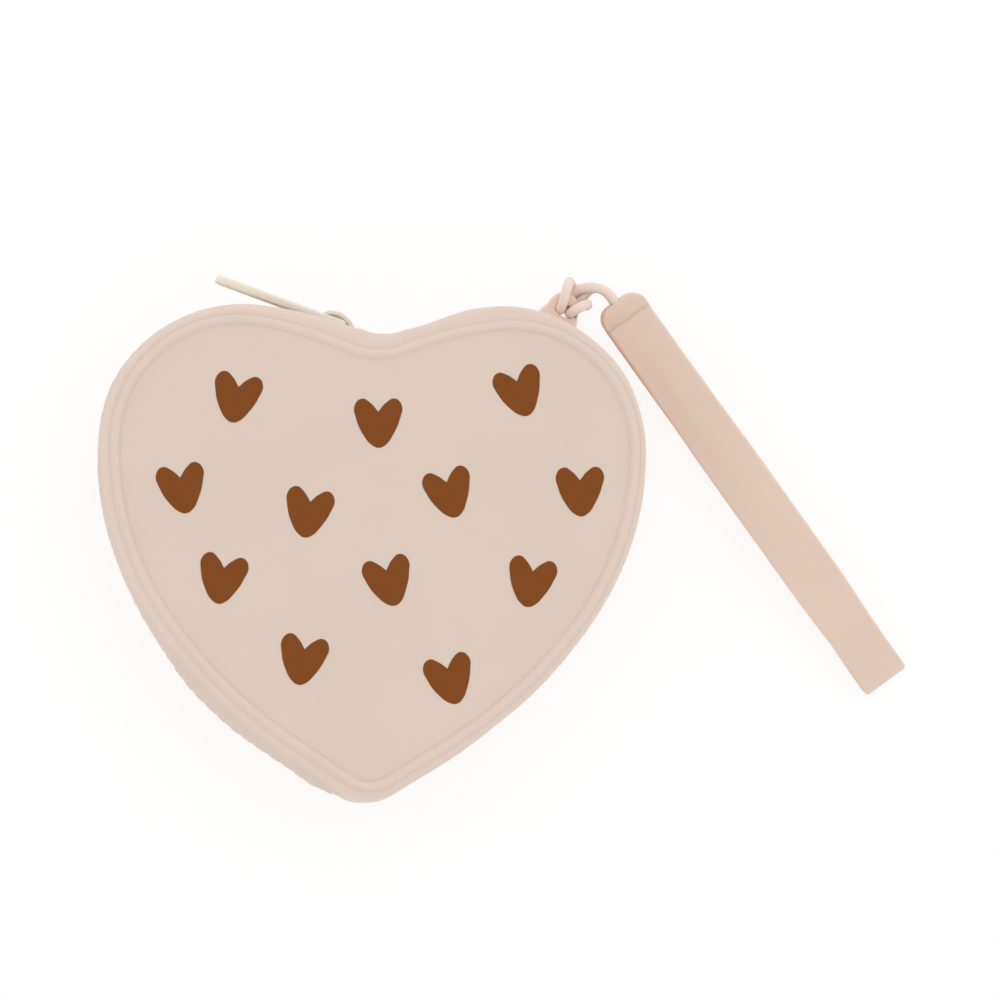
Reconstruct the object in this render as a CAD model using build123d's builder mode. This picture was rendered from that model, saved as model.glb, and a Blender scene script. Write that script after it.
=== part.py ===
"""Heart shaped zip purse with a wrist strap, lying on its back.

Millimetres, +Z up. The origin is the middle of the flat back, +Y points from the tip of the
heart to its cleft. The zip runs in the side wall from the cleft, round the left lobe, to the
tip. The right half of the side wall is whole and carries the strap.
"""
from build123d import *
from math import asin, cos, radians, sin
import os

os.makedirs("parts", exist_ok=True)

# ---- moulded body ----
DEPTH = 28.0            # back to the crest of the raised ring
MID = DEPTH / 2         # height of the zip and of the mould's parting line
WALL = 2.0              # side wall
SHEET = 1.8             # front and back
BAND = 9.0              # upright part of the side wall, each way from the middle
SHOULDER_IN = 0.8       # how far the shoulders lean in above the upright part
RIM_ROUND = 1.2
RING_RISE = 0.5         # raised ring on the front
RING_WIDTH = 1.6
RING_ROUND = 0.45

# Half a heart, walked clockwise from the cleft: the height of the cleft, then turns as
# (radius, heading at the end of the turn), then the radius at the tip. Heading 0 is +X.
WALL_HEART = (44.1, ((13.4, 22.5), (60.0, 2.6), (28.1, -88.9), (61.6, -125.8), (98.9, -147.3)), 9.3)
RING_HEART = (40.0, ((15.0, 22.8), (72.7, 8.1), (24.8, -88.9), (58.9, -125.8), (96.2, -147.3)), 6.6)

# ---- front that opens ----
SLIT_HALF = 4.3         # half the gap between the lips beside the zip
SLIT_END = 2.0          # the slit stops this far short of the centre line
FOLD_START = -3.0       # the front bends between these two lines
FOLD_END = -33.0

# ---- zip ----
TAPE_SINK = 2.3         # middle of the tape, in from the outside of the wall
TAPE_THICK = 0.54
TAPE_HALF = 8.4         # half the width of both tapes together
TAPE_IN = 1.3           # inner edge of a tape, from the middle of the zip
PITCH = 2.3             # teeth of one tape
HEAD_WIDTH = 1.0
HEAD_REACH = 0.55       # past the middle of the zip
TOOTH_BACK = 2.4
HIP_WIDTH = 1.5
HIP_LENGTH = 1.6
TOOTH_HALF = 1.1        # half the height of a tooth above and below the tape
TOOTH_SLOT = 0.64
CHAIN_START = 7.6       # first tooth, along the zip from the centre line
CHAIN_END = 7.0         # last tooth, before the centre line at the tip
TOP_STOP = (3.2, 1.5)   # middle and length along the zip
TOP_STOP_HEIGHT = 1.7
BOTTOM_STOP = (4.2, 2.4)
BOTTOM_STOP_SLOT = 0.9  # round the tape, which is more curved there
BOTTOM_STOP_ROUND = 0.5

# ---- slider, bail and pull ----
SLIDER_AT = 8.0         # middle of the slider, along the zip
SLIDER_LENGTH = 7.8
SLIDER_WIDE = 3.9       # half width where the two tapes enter
SLIDER_NARROW = 3.35    # half width where they leave together
SLIDER_ROUND = 0.9
EDGE_ROUND = 0.3        # slider, bail and the rim of the tab's hole
PLATE = 0.9
PLATE_GAP = 0.45        # between the teeth and each plate
FLANGE = 0.8
FLANGE_GAP = 0.35       # between each flange and the tape
POST = ((-3.4, 0.5), (-2.6, 1.0), (-0.9, 0.2))  # outline of half the post, along and across
BAIL_ENDS = (-3.3, 3.5)  # feet of the bail, along the slider
BAIL_RISE = 3.5
BAIL_THICK = 0.9
BAIL_WIDTH = 1.6
PULL_LENGTH = 28.0
PULL_WIDTH = 6.0
PULL_THICK = 1.7
PULL_DROP = 1.1         # the end of the tongue lies this much nearer to the zip than its eye
PULL_NECK = 1.3         # thickness of the eye that sits under the bail
PULL_SLOT = (3.6, 2.3)  # length and width of the eye
PULL_NECK_LENGTH = 6.4
PULL_NECK_RAMP = 1.2
PULL_CORNER = 1.6
PULL_SEAT = 0.97        # axis of the pull above the slider's plate
PULL_ROUND = 0.4

# ---- tab, cord and strap ----
TAB_AT = (38.0, 50.9)   # centre of the hole
TAB_OUT = 66.0          # direction away from the wall
TAB_THICK = 2.0
TAB_RADIUS = 3.35
TAB_HOLE = 2.25
TAB_BASE_HALF = 4.45
TAB_REACH = 2.9         # wall to the centre of the hole
CORD = 2.0
KNOT_OUT = 44.0         # direction of the knot from the hole
STRAP_AT = (50.15, 53.35, 12.4)  # middle of the top of the sleeve
STRAP_OUT = -54.0
STRAP_LENGTH = 93.0
SLEEVE_LENGTH = 6.0
SLEEVE_WIDTH = 10.6
SLEEVE_THICK = 5.4
SLEEVE_ROUND = 2.2
SOCKET = (1.2, 3.2)     # radius and depth for each end of the cord
BAND_SEAT = 3.7         # where the band starts, inside the sleeve
STRAP_WIDTH = 9.8
STRAP_THICK = 1.5
STRAP_GAP = 1.2         # between the two layers
STRAP_REST = 0.05       # lowest edge of the band above the table

# cord of the strap, in the order in which it is laid
LEG = 1.12              # half the distance between the two legs, one above the other in the sleeve
LEG_ASIDE = 1.9         # both legs, from the middle of the sleeve
CORNER_ASIDE = 0.3      # each leg beside the middle of the knot where it turns to the sleeve
LEG_Z = 12.75           # middle of the two legs there
LEG_SPREAD = 1.08       # each leg beside the middle of the knot, under the rim
RIM_OUT = 4.3           # where the legs have passed the rim, from the hole
HOLE_OUT = -0.5         # where the cord goes through the hole
CORD_GAP = 0.15         # cord to tab
BAR_Z = 9.45
BAR_OUT = 4.35          # bar from the hole
BAR_HALF = 3.15


def towards(angle):
    """Unit vector in the XY plane."""
    return Vector(cos(radians(angle)), sin(radians(angle)))


def half_heart(heart, grow=0.0):
    """Add the right half of a heart to the line being built, moved outwards by grow."""
    cleft, turns, tip_radius = heart
    point = Vector(0, cleft + grow)
    heading = 0.0
    for radius, new_heading in turns:
        turn = new_heading - heading
        bend = radius - grow if turn > 0 else radius + grow
        arc = JernArc(point, towards(heading), bend, turn)
        point = arc @ 1
        heading = new_heading
    tip_bend = tip_radius + grow
    flank_length = (-tip_bend * sin(radians(heading)) - point.X) / cos(radians(heading))
    flank = Line(point, point + towards(heading) * flank_length)
    JernArc(flank @ 1, flank % 1, tip_bend, -180 - heading)


def heart_face(heart, height, grow=0.0):
    """A whole heart, lying flat at the given height."""
    with BuildSketch(Plane.XY.offset(height)) as face:
        with BuildLine():
            half_heart(heart, grow)
            mirror(about=Plane.YZ)
        make_face()
    return face.sketch


def heart_block(z_bottom, z_top, grow_bottom, grow_top):
    """Add or cut a block between two hearts, as a straight sided loft."""
    return loft([heart_face(WALL_HEART, z_bottom, grow_bottom), heart_face(WALL_HEART, z_top, grow_top)],
                ruled=True, mode=Mode.PRIVATE)


def half_body(face_z):
    """The upper half of the moulded body, open at the parting line, its sheet on top."""
    shoulder_z = MID + BAND
    inside_z = face_z - SHEET
    inside_lean = SHOULDER_IN * (inside_z - shoulder_z) / (face_z - shoulder_z)
    with BuildPart() as half:
        add(heart_block(MID, shoulder_z, 0, 0))
        add(heart_block(shoulder_z, face_z, 0, -SHOULDER_IN))
        fillet(half.faces().sort_by(Axis.Z)[-1].edges(), RIM_ROUND)
        add(heart_block(MID, shoulder_z, -WALL, -WALL), mode=Mode.SUBTRACT)
        add(heart_block(shoulder_z, inside_z, -WALL, -WALL - inside_lean), mode=Mode.SUBTRACT)
        # half of the slit for the zip, through the left wall only
        with BuildSketch(Plane.XY.offset(MID)):
            with Locations((-SLIT_END, 0)):
                Rectangle(DEPTH * 3, DEPTH * 5, align=(Align.MAX, Align.CENTER))
        extrude(amount=SLIT_HALF, mode=Mode.SUBTRACT)
    return half.part


def finish(part, name):
    part.label = name
    export_step(part, f"parts/{name}.step")


# ---- body: back half, and a front in three pieces ----
with BuildPart() as back_shell:
    mirror(half_body(DEPTH), about=Plane.XY.offset(MID))
finish(back_shell.part, "back_shell")

FRONT_Z = DEPTH - RING_RISE
with BuildPart() as front:
    add(half_body(FRONT_Z))
    ring = heart_face(RING_HEART, FRONT_Z, RING_WIDTH / 2)
    ring = ring - heart_face(RING_HEART, FRONT_Z, -RING_WIDTH / 2)
    extrude(ring, amount=RING_RISE)
    fillet(front.faces().sort_by(Axis.Z)[-1].edges(), RING_ROUND)

with BuildPart() as front_shell:
    add(front.part)
    split(bisect_by=Plane.YZ.offset(FOLD_START), keep=Keep.TOP)
finish(front_shell.part, "front_shell")

with BuildPart() as front_fold:
    add(front.part)
    split(bisect_by=Plane.YZ.offset(FOLD_START), keep=Keep.BOTTOM)
    split(bisect_by=Plane.YZ.offset(FOLD_END), keep=Keep.TOP)
finish(front_fold.part, "front_fold")

with BuildPart() as front_flap:
    add(front.part)
    split(bisect_by=Plane.YZ.offset(FOLD_END), keep=Keep.BOTTOM)
finish(front_flap.part, "front_flap")


# ---- zip: tapes and teeth ----
with BuildLine() as zip_line:
    half_heart(WALL_HEART, -TAPE_SINK)
    mirror(about=Plane.YZ, mode=Mode.REPLACE)
ZIP = zip_line.wires()[0]


def zip_plane(along):
    """Plane on the zip: X towards the tip of the heart, Y up, Z out of the wall."""
    point = ZIP.position_at(along, position_mode=PositionMode.LENGTH)
    run = ZIP.tangent_at(along, position_mode=PositionMode.LENGTH)
    return Plane(origin=(point.X, point.Y, MID), x_dir=run, z_dir=(run.Y, -run.X, 0))


def tape(z_bottom, z_top):
    """Strip of tape along the whole zip."""
    outside = heart_face(WALL_HEART, z_bottom, TAPE_THICK / 2 - TAPE_SINK)
    inside = heart_face(WALL_HEART, z_bottom, -TAPE_THICK / 2 - TAPE_SINK)
    with BuildPart() as strip:
        extrude(outside - inside, amount=z_top - z_bottom)
        split(bisect_by=Plane.YZ.offset(-SLIT_END / 4), keep=Keep.BOTTOM)
    return strip.part


with BuildPart() as back_tooth:
    with BuildSketch():
        with Locations((0, -TOOTH_BACK)):
            Rectangle(HEAD_WIDTH, TOOTH_BACK + HEAD_REACH, align=(Align.CENTER, Align.MIN))
        fillet(vertices().group_by(Axis.Y)[-1], HEAD_WIDTH * 0.35)
        with Locations((0, -TOOTH_BACK)):
            Rectangle(HIP_WIDTH, HIP_LENGTH, align=(Align.CENTER, Align.MIN))
    extrude(amount=TOOTH_HALF, both=True)
    with Locations((0, -TOOTH_BACK)):
        Box(HIP_WIDTH, (TOOTH_BACK - TAPE_IN) * 2 + 0.1, TOOTH_SLOT, mode=Mode.SUBTRACT)

with BuildPart() as front_tooth:
    mirror(back_tooth.part, about=Plane.XZ)

teeth_a_side = int((ZIP.length - CHAIN_START - CHAIN_END) / PITCH)
back_stations = [CHAIN_START + PITCH * number for number in range(teeth_a_side)]
front_planes = [zip_plane(along + PITCH / 2) for along in back_stations]

with BuildPart() as zip_teeth_back:
    with Locations(*[zip_plane(along) for along in back_stations]):
        add(back_tooth.part, clean=False)
finish(zip_teeth_back.part, "zip_teeth_back")

with BuildPart() as zip_teeth_fold:
    with Locations(*[plane for plane in front_planes if plane.origin.X > FOLD_END]):
        add(front_tooth.part, clean=False)
finish(zip_teeth_fold.part, "zip_teeth_fold")

with BuildPart() as zip_teeth_front:
    with Locations(*[plane for plane in front_planes if plane.origin.X <= FOLD_END]):
        add(front_tooth.part, clean=False)
finish(zip_teeth_front.part, "zip_teeth_front")

with BuildPart() as zip_tape_back:
    add(tape(MID - TAPE_HALF, MID - TAPE_IN))
finish(zip_tape_back.part, "zip_tape_back")

with BuildPart() as zip_tape_fold:
    add(tape(MID + TAPE_IN, MID + TAPE_HALF))
    split(bisect_by=Plane.YZ.offset(FOLD_END), keep=Keep.TOP)
finish(zip_tape_fold.part, "zip_tape_fold")

with BuildPart() as zip_tape_front:
    add(tape(MID + TAPE_IN, MID + TAPE_HALF))
    split(bisect_by=Plane.YZ.offset(FOLD_END), keep=Keep.BOTTOM)
finish(zip_tape_front.part, "zip_tape_front")

# ---- stops: one staple on each tape at the top, one box over both at the bottom ----
with BuildPart() as zip_top_stop:
    with BuildSketch(zip_plane(TOP_STOP[0])):
        with GridLocations(0, TAPE_IN + TOOTH_BACK, 1, 2):
            Rectangle(TOP_STOP[1], TOP_STOP_HEIGHT)
    extrude(amount=TOOTH_HALF, both=True)
    with Locations(zip_plane(TOP_STOP[0])):
        with GridLocations(0, TAPE_HALF + TAPE_IN, 1, 2):
            Box(TOP_STOP[1] * 2, TAPE_HALF - TAPE_IN, TOOTH_SLOT, mode=Mode.SUBTRACT)
finish(zip_top_stop.part, "zip_top_stop")

with BuildPart() as zip_bottom_stop:
    with BuildSketch(zip_plane(ZIP.length - BOTTOM_STOP[0])):
        RectangleRounded(BOTTOM_STOP[1], TOOTH_BACK * 2, BOTTOM_STOP_ROUND)
    extrude(amount=TOOTH_HALF, both=True)
    with Locations(zip_plane(ZIP.length - BOTTOM_STOP[0])):
        with GridLocations(0, TAPE_HALF + TAPE_IN, 1, 2):
            Box(BOTTOM_STOP[1] * 2, TAPE_HALF - TAPE_IN, BOTTOM_STOP_SLOT, mode=Mode.SUBTRACT)
finish(zip_bottom_stop.part, "zip_bottom_stop")

# ---- slider: two plates with flanges, held together by the post between the tapes ----
SLIDER = zip_plane(SLIDER_AT)
PLATE_BOTTOM = TOOTH_HALF + PLATE_GAP
PLATE_TOP = PLATE_BOTTOM + PLATE
FLANGE_BOTTOM = TAPE_THICK / 2 + FLANGE_GAP


def slider_outline(inset=0.0):
    """Half-tapered plate of the slider, drawn inwards by inset at its sides."""
    end = SLIDER_LENGTH / 2
    wide = SLIDER_WIDE - inset
    narrow = SLIDER_NARROW - inset
    with BuildSketch() as outline:
        corners = [(-end, wide), (0, wide), (end, narrow)]
        Polygon(*corners, *[(x, -y) for x, y in reversed(corners)], align=None)
        if not inset:
            fillet(outline.vertices(), SLIDER_ROUND)
    return outline.sketch


with BuildPart() as zip_slider:
    plate = slider_outline()
    channel = slider_outline(FLANGE)
    flanges = plate - channel
    for side in (1, -1):
        plate_plane = Plane(origin=(0, 0, PLATE_TOP * side))
        extrude(plate_plane * plate, amount=-PLATE * side)
        extrude(plate_plane * flanges, amount=(FLANGE_BOTTOM - PLATE_TOP) * side)
    with BuildSketch():
        Polygon(*POST, *[(x, -y) for x, y in reversed(POST)], align=None)
    extrude(amount=PLATE_BOTTOM, both=True)
    fillet(zip_slider.faces().sort_by(Axis.Z)[-1].edges(), EDGE_ROUND)
finish(SLIDER * zip_slider.part, "zip_slider")

with BuildPart() as bail:
    with BuildSketch(Plane.XZ.offset(-BAIL_WIDTH / 2)):
        start, end = BAIL_ENDS
        middle = (start + end) / 2
        with BuildLine():
            ThreePointArc((start, PLATE_TOP), (middle, PLATE_TOP + BAIL_RISE), (end, PLATE_TOP))
            Line((end, PLATE_TOP), (end - BAIL_THICK, PLATE_TOP))
            ThreePointArc((end - BAIL_THICK, PLATE_TOP), (middle, PLATE_TOP + BAIL_RISE - BAIL_THICK),
                          (start + BAIL_THICK, PLATE_TOP))
            Line((start + BAIL_THICK, PLATE_TOP), (start, PLATE_TOP))
        make_face()
    extrude(amount=BAIL_WIDTH)
    fillet(bail.edges().filter_by(GeomType.CIRCLE).sort_by(SortBy.RADIUS)[-2:], EDGE_ROUND)
finish(SLIDER * bail.part, "zip_bail")

# ---- pull: a flat tongue with a thin eye that goes round the bail ----
PULL_AXIS_Z = PLATE_TOP + PULL_SEAT
PULL_END_Z = PULL_AXIS_Z - PULL_DROP
with BuildPart() as pull:
    with BuildSketch(Plane.XZ.offset(-PULL_WIDTH / 2)):
        with BuildLine():
            Polyline((-PULL_NECK / 2, PULL_AXIS_Z - PULL_NECK / 2),
                     (PULL_NECK_LENGTH - PULL_NECK_RAMP, PULL_AXIS_Z - PULL_NECK / 2),
                     (PULL_NECK_LENGTH, PULL_AXIS_Z - PULL_THICK / 2 - 0.1),
                     (PULL_LENGTH - PULL_NECK / 2, PULL_END_Z - PULL_THICK / 2),
                     (PULL_LENGTH - PULL_NECK / 2, PULL_END_Z + PULL_THICK / 2),
                     (PULL_NECK_LENGTH, PULL_AXIS_Z + PULL_THICK / 2 - 0.1),
                     (PULL_NECK_LENGTH - PULL_NECK_RAMP, PULL_AXIS_Z + PULL_NECK / 2),
                     (-PULL_NECK / 2, PULL_AXIS_Z + PULL_NECK / 2), close=True)
        make_face()
    extrude(amount=PULL_WIDTH)
    fillet(pull.edges().filter_by(Axis.Z), PULL_CORNER)
    with Locations((PULL_NECK / 2, 0, PULL_AXIS_Z)):
        Box(*PULL_SLOT, PULL_THICK * 2, align=(Align.MIN, Align.CENTER, Align.CENTER), mode=Mode.SUBTRACT)
    fillet(pull.edges().filter_by(Axis.Y).group_by(Axis.X)[0], PULL_NECK * 0.35)
    long_edges = pull.edges().filter_by(GeomType.LINE).sort_by(SortBy.LENGTH)[-4:]
    fillet(long_edges.sort_by(Axis.Z)[-2:], PULL_ROUND)
finish(SLIDER * pull.part, "zip_pull")

# ---- tab for the strap, moulded on the whole side of the wall ----
with BuildPart() as strap_tab:
    with BuildSketch(Plane(origin=(*TAB_AT, MID - TAB_THICK / 2), x_dir=towards(TAB_OUT - 90))):
        Circle(TAB_RADIUS)
        with Locations((0, -TAB_REACH - 1)):
            Rectangle(TAB_BASE_HALF * 2, 1)
        make_hull()
        Circle(TAB_HOLE, mode=Mode.SUBTRACT)
    extrude(amount=TAB_THICK)
    add(heart_block(MID - TAB_THICK, MID + TAB_THICK, 0, 0), mode=Mode.SUBTRACT)
    round_edges = strap_tab.edges().filter_by(GeomType.CIRCLE)
    fillet(round_edges.filter_by(lambda edge: edge.radius == TAB_HOLE), EDGE_ROUND)
finish(strap_tab.part, "strap_tab")

# ---- strap: sleeve and folded band, sloping down to the table ----
BAND_THICK = STRAP_THICK * 2 + STRAP_GAP
STRAP_FALL = asin((STRAP_AT[2] - BAND_THICK / 2 - STRAP_REST) / (STRAP_LENGTH - BAND_THICK / 2))
strap_run = towards(STRAP_OUT) * cos(STRAP_FALL) - Vector(0, 0, sin(STRAP_FALL))
STRAP_SIDE = Plane(origin=STRAP_AT, x_dir=strap_run, z_dir=towards(STRAP_OUT - 90))
STRAP_TOP = Plane(origin=STRAP_AT, x_dir=strap_run, z_dir=STRAP_SIDE.y_dir)
STRAP_END = Plane(origin=STRAP_AT, x_dir=STRAP_SIDE.z_dir, z_dir=strap_run)

with BuildPart() as strap_band:
    with BuildSketch(STRAP_SIDE):
        with Locations((BAND_SEAT, 0)):
            Rectangle(STRAP_LENGTH - BAND_SEAT, BAND_THICK, align=(Align.MIN, Align.CENTER))
        fillet(vertices().sort_by(Axis(STRAP_AT, strap_run))[-2:], BAND_THICK * 0.49)
        gap_end = STRAP_LENGTH - STRAP_THICK
        with Locations(((SLEEVE_LENGTH + gap_end) / 2, 0)):
            SlotOverall(gap_end - SLEEVE_LENGTH, STRAP_GAP, mode=Mode.SUBTRACT)
    extrude(amount=STRAP_WIDTH / 2, both=True)
finish(strap_band.part, "strap_band")

with BuildPart() as strap_sleeve:
    with BuildSketch(STRAP_TOP.offset(-SLEEVE_THICK / 2)):
        with Locations((SLEEVE_LENGTH / 2, 0)):
            Rectangle(SLEEVE_LENGTH, SLEEVE_WIDTH)
    extrude(amount=SLEEVE_THICK)
    top_edges = strap_sleeve.faces().sort_by(Axis(STRAP_AT, strap_run))[0].edges()
    fillet(top_edges.filter_by(lambda edge: abs((edge % 0).dot(STRAP_TOP.z_dir)) > 0.99), SLEEVE_ROUND)
    with BuildSketch(STRAP_END):
        with Locations((LEG_ASIDE, LEG), (LEG_ASIDE, -LEG)):
            Circle(SOCKET[0])
    extrude(amount=SOCKET[1], mode=Mode.SUBTRACT)
    with BuildSketch(STRAP_END.offset(BAND_SEAT)):
        Rectangle(STRAP_WIDTH, BAND_THICK)
    extrude(amount=SLEEVE_LENGTH, mode=Mode.SUBTRACT)
finish(strap_sleeve.part, "strap_sleeve")

# ---- cord: out of the sleeve, over its own bar, under the rim of the tab, up through the hole ----
UNDER = MID - TAB_THICK / 2 - CORD / 2 - CORD_GAP
OVER = MID + TAB_THICK / 2 + CORD / 2 + CORD_GAP


def knot(out, across, height):
    """Point of the knot: out from the hole, across to its right, and up from the table."""
    plan = Vector(*TAB_AT) + towards(KNOT_OUT) * out + towards(KNOT_OUT - 90) * across
    return Vector(plan.X, plan.Y, height)


def strap_point(along, level):
    """Point beside the middle of the sleeve: along the strap and above its middle."""
    return STRAP_SIDE.from_local_coords((along, level, LEG_ASIDE))


def knot_corner():
    """How far out from the hole the legs turn from the knot towards the strap."""
    end = strap_point(0, 0)
    gap = Vector(end.X - TAB_AT[0], end.Y - TAB_AT[1])
    run_in = towards(KNOT_OUT)
    run_out = towards(STRAP_OUT)
    return (gap.X * run_out.Y - gap.Y * run_out.X) / (run_in.X * run_out.Y - run_in.Y * run_out.X)


def half_route(side):
    """Points and bends of one half of the cord, from the sleeve to its bar. The left leg is above."""
    above = -side
    points = [strap_point(3.0, LEG * above),
              knot(knot_corner() + 0.1 * above, CORNER_ASIDE * side, LEG_Z + LEG * above),
              knot(RIM_OUT, LEG_SPREAD * side, UNDER + 0.12 * above - 0.05),
              knot(HOLE_OUT, LEG_SPREAD * side, UNDER),
              knot(HOLE_OUT, LEG_SPREAD * side, OVER),
              knot(BAR_OUT, BAR_HALF * side, OVER),
              knot(BAR_OUT, BAR_HALF * side, BAR_Z)]
    bends = [3.6, 1.5, 1.5, 1.5, 1.5, 1.5]
    return points, bends


left_points, left_bends = half_route(-1)
right_points, right_bends = half_route(1)
with BuildPart() as strap_cord:
    with BuildLine() as cord_line:
        FilletPolyline(*left_points, *reversed(right_points), radius=[*left_bends, *reversed(right_bends)])
    with BuildSketch(Plane(origin=cord_line.line @ 0, z_dir=cord_line.line % 0)):
        Circle(CORD / 2)
    sweep()
finish(strap_cord.part, "strap_cord")
print("cord length", cord_line.wires()[0].length, "volume", strap_cord.part.volume)
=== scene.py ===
# %% [markdown]
# # A heart shaped silicone purse
# The purse lies on its back on a pale floor and is seen from almost straight above. The packed
# CAD model is loaded first: it holds the hard pieces, the joints and the sizes. Everything soft,
# which is the moulded body, the zip's tapes, the cord and the strap, is then modelled here in the
# same place, because silicone and cloth have swells, dents and folds that a CAD solid doesn't.
# So are the bail and the pull, which lean and bend in the photograph.

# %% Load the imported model
from math import cos, exp, radians, sin
import bmesh
import bpy
from mathutils import Matrix, Vector


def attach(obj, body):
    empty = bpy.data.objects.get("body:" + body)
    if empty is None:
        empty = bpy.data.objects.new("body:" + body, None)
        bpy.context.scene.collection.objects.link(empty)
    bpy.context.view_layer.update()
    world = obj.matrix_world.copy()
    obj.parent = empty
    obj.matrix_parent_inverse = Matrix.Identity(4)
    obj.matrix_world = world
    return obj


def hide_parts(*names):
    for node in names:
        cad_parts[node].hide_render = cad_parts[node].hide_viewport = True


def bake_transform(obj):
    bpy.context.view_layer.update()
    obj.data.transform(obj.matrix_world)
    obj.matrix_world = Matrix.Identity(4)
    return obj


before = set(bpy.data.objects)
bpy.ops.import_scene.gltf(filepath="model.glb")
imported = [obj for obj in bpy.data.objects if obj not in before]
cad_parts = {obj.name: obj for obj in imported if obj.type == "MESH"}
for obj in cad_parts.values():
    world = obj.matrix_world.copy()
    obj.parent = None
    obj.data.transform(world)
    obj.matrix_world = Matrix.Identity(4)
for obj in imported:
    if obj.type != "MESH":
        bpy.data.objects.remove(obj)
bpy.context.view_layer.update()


# %% [markdown]
# ## Camera
# The camera is made first, so that every try can be compared with the photograph. The flank on
# the lower left shows and the flank on the upper right doesn't, so the view leans a few degrees
# that way. Far and near edges keep one scale, which means a long lens from well away.

# %% Camera
PHOTO_CENTRE = Vector((0.02513, 0.01128, 0.028))
LEAN = radians(4.75)
TURN = Matrix.Rotation(radians(1.0), 3, "Z")
DISTANCE = 2.5
VIEW_WIDTH = 0.2
SENSOR = 36

camera_data = bpy.data.cameras.new("camera")
camera_data.sensor_width = SENSOR
camera_data.lens = SENSOR * DISTANCE / VIEW_WIDTH
camera_data.clip_end = 20
camera = bpy.data.objects.new("camera", camera_data)
bpy.context.scene.collection.objects.link(camera)
to_camera = TURN @ Vector((-sin(LEAN) / 2 ** 0.5, -sin(LEAN) / 2 ** 0.5, cos(LEAN)))
right = (TURN @ Vector((0, 1, 0))).cross(to_camera).normalized()
axes = Matrix((right, to_camera.cross(right), to_camera)).transposed()
camera.matrix_world = Matrix.Translation(PHOTO_CENTRE + to_camera * DISTANCE) @ axes.to_4x4()
bpy.context.scene.camera = camera
print("lens, mm:", camera_data.lens)

# %% [markdown]
# ## Small helpers
# Sizes are written in millimetres, as on a drawing, and become metres when a mesh is finished.
# Each soft piece also keeps the place that each point has at rest, as an attribute. Its material
# reads that, so the pattern stays on the silicone when the front of the purse bends open.

# %% Helpers for directions, colours and meshes
MM = 0.001


def ahead(angle):
    """Unit vector in the drawing plane, from an angle in degrees."""
    return Vector((cos(radians(angle)), sin(radians(angle))))


def paint(red, green, blue):
    """A colour picked as 0 to 255, as the linear colour that a shader wants."""
    return [pow((value / 255 + 0.055) / 1.055, 2.4) for value in (red, green, blue)] + [1]


def finished(name, bm, material, smooth=True):
    """Turns a bmesh in millimetres into an object in metres, with its rest place stored."""
    bmesh.ops.scale(bm, vec=(MM, MM, MM), verts=bm.verts)
    mesh = bpy.data.meshes.new(name)
    bm.to_mesh(mesh)
    bm.free()
    mesh.polygons.foreach_set("use_smooth", [smooth] * len(mesh.polygons))
    places = mesh.attributes.new("rest_place", "FLOAT_VECTOR", "POINT")
    flat = [0.0] * (len(mesh.vertices) * 3)
    mesh.vertices.foreach_get("co", flat)
    places.data.foreach_set("vector", flat)
    mesh.materials.append(material)
    piece = bpy.data.objects.new(name, mesh)
    bpy.context.scene.collection.objects.link(piece)
    print(name, len(mesh.polygons), "faces")
    return piece


def smooth_step(start, end, value):
    """0 before start, 1 after end, and a smooth S between them."""
    share = min(1.0, max(0.0, (value - start) / (end - start)))
    return share * share * (3 - 2 * share)


# %% [markdown]
# Most pieces below grow from a few edges by extruding them again and again. The operator hands
# back everything that it made, so two helpers pick what the next turn needs: the new vertices,
# and the edges that join them, which are the copy of the edges that were extruded.

# %% Helpers for growing a mesh
def verts_in(made):
    """The vertices among the things that an operator made."""
    return [item for item in made if isinstance(item, bmesh.types.BMVert)]


def far_edges(made):
    """The edges of the copied end of an extrusion."""
    ends = set(verts_in(made))
    return [item for item in made
            if isinstance(item, bmesh.types.BMEdge) and all(vert in ends for vert in item.verts)]


seed = bmesh.new()
bmesh.ops.create_circle(seed, segments=6, radius=1)
seed_made = bmesh.ops.extrude_edge_only(seed, edges=seed.edges)["geom"]
print("a hexagon grows by", len(verts_in(seed_made)), "vertices,", len(far_edges(seed_made)), "far edges")
seed.free()

# %% [markdown]
# Cords, strips, the pull and the printed heart all start as curves, because a spline is the
# shortest way to say a smooth line. Blender only gives a curve's mesh through an object, so one
# is made for that moment and removed again.

# %% Helpers for curves
def smooth_line(name, points, resolution):
    """A smooth line in space, with the points as its control points."""
    curve = bpy.data.curves.new(name, "CURVE")
    curve.dimensions = "3D"
    curve.resolution_u = resolution
    spline = curve.splines.new("NURBS")
    spline.points.add(len(points) - 1)
    for point, (x, y, z) in zip(spline.points, points):
        point.co = (x, y, z, 1)
    spline.order_u = 3
    spline.use_endpoint_u = True
    return curve


def filled_outline(name):
    """A flat curve that is filled between its closed splines."""
    curve = bpy.data.curves.new(name, "CURVE")
    curve.dimensions = "2D"
    curve.fill_mode = "BOTH"
    curve.resolution_u = 6
    return curve


def mesh_of(curve):
    """The mesh of a curve as it stands now."""
    holder = bpy.data.objects.new(curve.name, curve)
    bpy.context.scene.collection.objects.link(holder)
    bpy.context.view_layer.update()
    mesh = bpy.data.meshes.new_from_object(holder)
    bpy.data.objects.remove(holder)
    return mesh


trial = smooth_line("trial", ((0, 0, 0), (1, 0, 0), (1, 1, 0)), 4)
print("three points give a line of", len(mesh_of(trial).vertices), "points")
bpy.data.curves.remove(trial)

# %% [markdown]
# ## Finishes
# Moulded silicone is matt, a little translucent and never quite even: it has a faint cloudiness,
# a very fine skin and a few specks of dust that cling to it. Those three live in one node group,
# because the body, the tab, the strap and the pull all share them. The group gives a colour, a
# roughness and a normal, and each material feeds them to its own Principled shader.

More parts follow.
